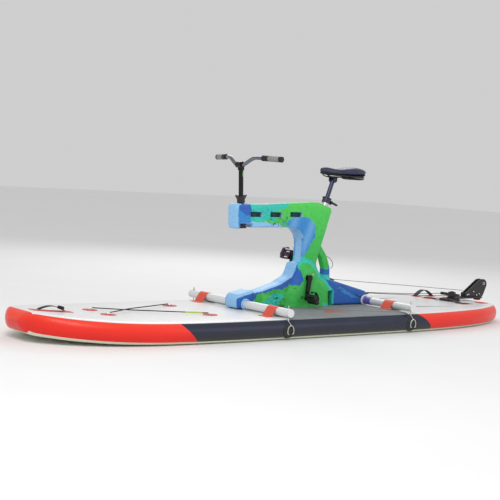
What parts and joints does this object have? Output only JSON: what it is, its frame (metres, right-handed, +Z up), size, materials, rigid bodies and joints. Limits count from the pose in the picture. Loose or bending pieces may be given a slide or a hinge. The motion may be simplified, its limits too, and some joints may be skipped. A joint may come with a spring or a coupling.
{
  "type": "pedal boat",
  "caption": "Inflatable stand-up board carrying a bicycle-like pedal frame with handlebar, saddle, cranks, swinging propeller leg and steered stern rudder mount.",
  "frame": {"origin": "on the board's flat bottom, midway along its length and width", "axes": "+X towards the bow, +Y to port, +Z up"},
  "size_m": [3.6876, 0.974, 1.0266],
  "materials": {
    "hull_skin": "satin",
    "pad_foam": "matt",
    "red_skin": "satin",
    "dark_skin": "satin",
    "webbing": "matt",
    "cord": "matt",
    "steel": "brushed",
    "tube_metal": "satin",
    "black_metal": "satin",
    "shell_plastic": "satin",
    "black_plastic": "matt",
    "white_plastic": "matt",
    "violet_plastic": "matt",
    "rubber": "matt",
    "saddle_cover": "satin"
  },
  "bodies": {
    "boat": {"board": "hull_skin", "deck_pad": "pad_foam", "inflation_valve": "black_plastic", "red_patches": "red_skin", "bow_handle": "webbing", "carry_handle": "webbing", "d_rings": "steel", "bungee_cord": "cord", "tube_straps": "red_skin", "rail_patches": "dark_skin", "tie_hooks": "steel", "front_tube": "tube_metal", "rear_tube": "tube_metal", "tube_end_caps": "white_plastic", "tube_sleeve": "violet_plastic", "frame_port_shell": "shell_plastic", "frame_starboard_shell": "shell_plastic", "shell_screws": "steel", "rubber_blocks": "rubber", "head_bushes": "white_plastic", "seat_sleeve": "tube_metal", "crank_bearings": "steel", "leg_bracket": "tube_metal", "pivot_pin": "steel", "line_guides": "violet_plastic", "pull_loop": "cord", "rudder_base": "black_plastic", "rudder_strap": "webbing", "steering_lines": "cord", "lift_line": "cord", "seat_collar": "black_plastic"},
    "cranks": {"crank_spindle": "steel", "port_crank_arm": "black_metal", "starboard_crank_arm": "black_metal", "crank_bevel": "steel"},
    "port_pedal": {"port_pedal": "black_plastic", "port_toe_strap": "black_plastic"},
    "starboard_pedal": {"starboard_pedal": "black_plastic", "starboard_toe_strap": "black_plastic"},
    "drive_shaft": {"drive_shaft": "steel"},
    "idler": {"idler_bevel": "steel"},
    "leg": {"leg_housing": "tube_metal"},
    "leg_shaft": {"leg_shaft": "steel"},
    "propeller": {"prop_shaft": "steel", "propeller": "black_plastic"},
    "steering": {"steerer_tube": "tube_metal", "steering_pulley": "violet_plastic", "post_clamp": "black_plastic"},
    "handlebar": {"handlebar_post": "black_metal", "stem": "black_metal", "handlebar": "black_metal", "grips": "rubber"},
    "rudder": {"rudder_arm": "black_plastic", "rudder_cheeks": "black_plastic", "rudder_bolts": "steel"},
    "seat_post": {"seat_post": "black_metal"},
    "seat_lever": {"seat_lever": "black_metal"},
    "saddle": {"saddle_clamp": "black_metal", "saddle_base": "black_plastic", "saddle": "saddle_cover"}
  },
  "joints": [
    {"name": "crank_spin", "type": "hinge", "parent": "boat", "child": "cranks", "pos_m": [-0.13, 0, 0.305], "axis": [0, 1, 0], "continuous": true},
    {"name": "port_pedal_spin", "type": "hinge", "parent": "cranks", "child": "port_pedal", "pos_m": [-0.11477, 0.11, 0.18093], "axis": [0, 1, 0], "continuous": true},
    {"name": "starboard_pedal_spin", "type": "hinge", "parent": "cranks", "child": "starboard_pedal", "pos_m": [-0.14523, -0.11, 0.42907], "axis": [0, 1, 0], "continuous": true},
    {"name": "drive_shaft_spin", "type": "hinge", "parent": "boat", "child": "drive_shaft", "pos_m": [-0.13, 0, 0.18], "axis": [0, 0, 1], "continuous": true},
    {"name": "idler_spin", "type": "hinge", "parent": "boat", "child": "idler", "pos_m": [-0.13, 0, 0.095], "axis": [0, 1, 0], "continuous": true},
    {"name": "leg_swing", "type": "hinge", "parent": "boat", "child": "leg", "pos_m": [-0.13, 0, 0.095], "axis": [0, -1, 0], "range_deg": [0, 90]},
    {"name": "leg_shaft_spin", "type": "hinge", "parent": "leg", "child": "leg_shaft", "pos_m": [-0.13, 0, 0.095], "axis": [1, 0, 0], "continuous": true},
    {"name": "prop_spin", "type": "hinge", "parent": "leg", "child": "propeller", "pos_m": [-0.295, 0, 0.095], "axis": [0, 0, 1], "continuous": true},
    {"name": "steering", "type": "hinge", "parent": "boat", "child": "steering", "pos_m": [0.361, 0, 0.742], "axis": [0.0698, 0, 0.9976], "range_deg": [-35, 35]},
    {"name": "handlebar_height", "type": "slide", "parent": "steering", "child": "handlebar", "axis": [0.0698, 0, 0.9976], "range_m": [-0.03, 0.08]},
    {"name": "rudder_yaw", "type": "hinge", "parent": "boat", "child": "rudder", "pos_m": [-1.55, 0, 0.135], "axis": [0, 0, 1], "range_deg": [-35, 35], "deforming": ["steering_lines", "lift_line"]},
    {"name": "seat_height", "type": "slide", "parent": "boat", "child": "seat_post", "axis": [-0.3338, 0, 0.9426], "range_m": [-0.045, 0.09]},
    {"name": "seat_lever_swing", "type": "hinge", "parent": "boat", "child": "seat_lever", "pos_m": [-0.34728, 0, 0.76672], "axis": [0, 1, 0], "range_deg": [0, 60]},
    {"name": "saddle_tilt", "type": "hinge", "parent": "seat_post", "child": "saddle", "pos_m": [-0.35941, 0, 0.90882], "axis": [0, 1, 0], "range_deg": [-6, 6]}
  ],
  "couplings": [
    {"joint": "port_pedal_spin", "follows": "crank_spin", "ratio": -1},
    {"joint": "starboard_pedal_spin", "follows": "crank_spin", "ratio": -1},
    {"joint": "drive_shaft_spin", "follows": "crank_spin", "ratio": -4},
    {"joint": "idler_spin", "follows": "crank_spin", "ratio": 2.6667},
    {"joint": "leg_shaft_spin", "follows": "crank_spin", "ratio": 4},
    {"joint": "prop_spin", "follows": "crank_spin", "ratio": 6},
    {"joint": "rudder_yaw", "follows": "steering", "ratio": 1}
  ]
}
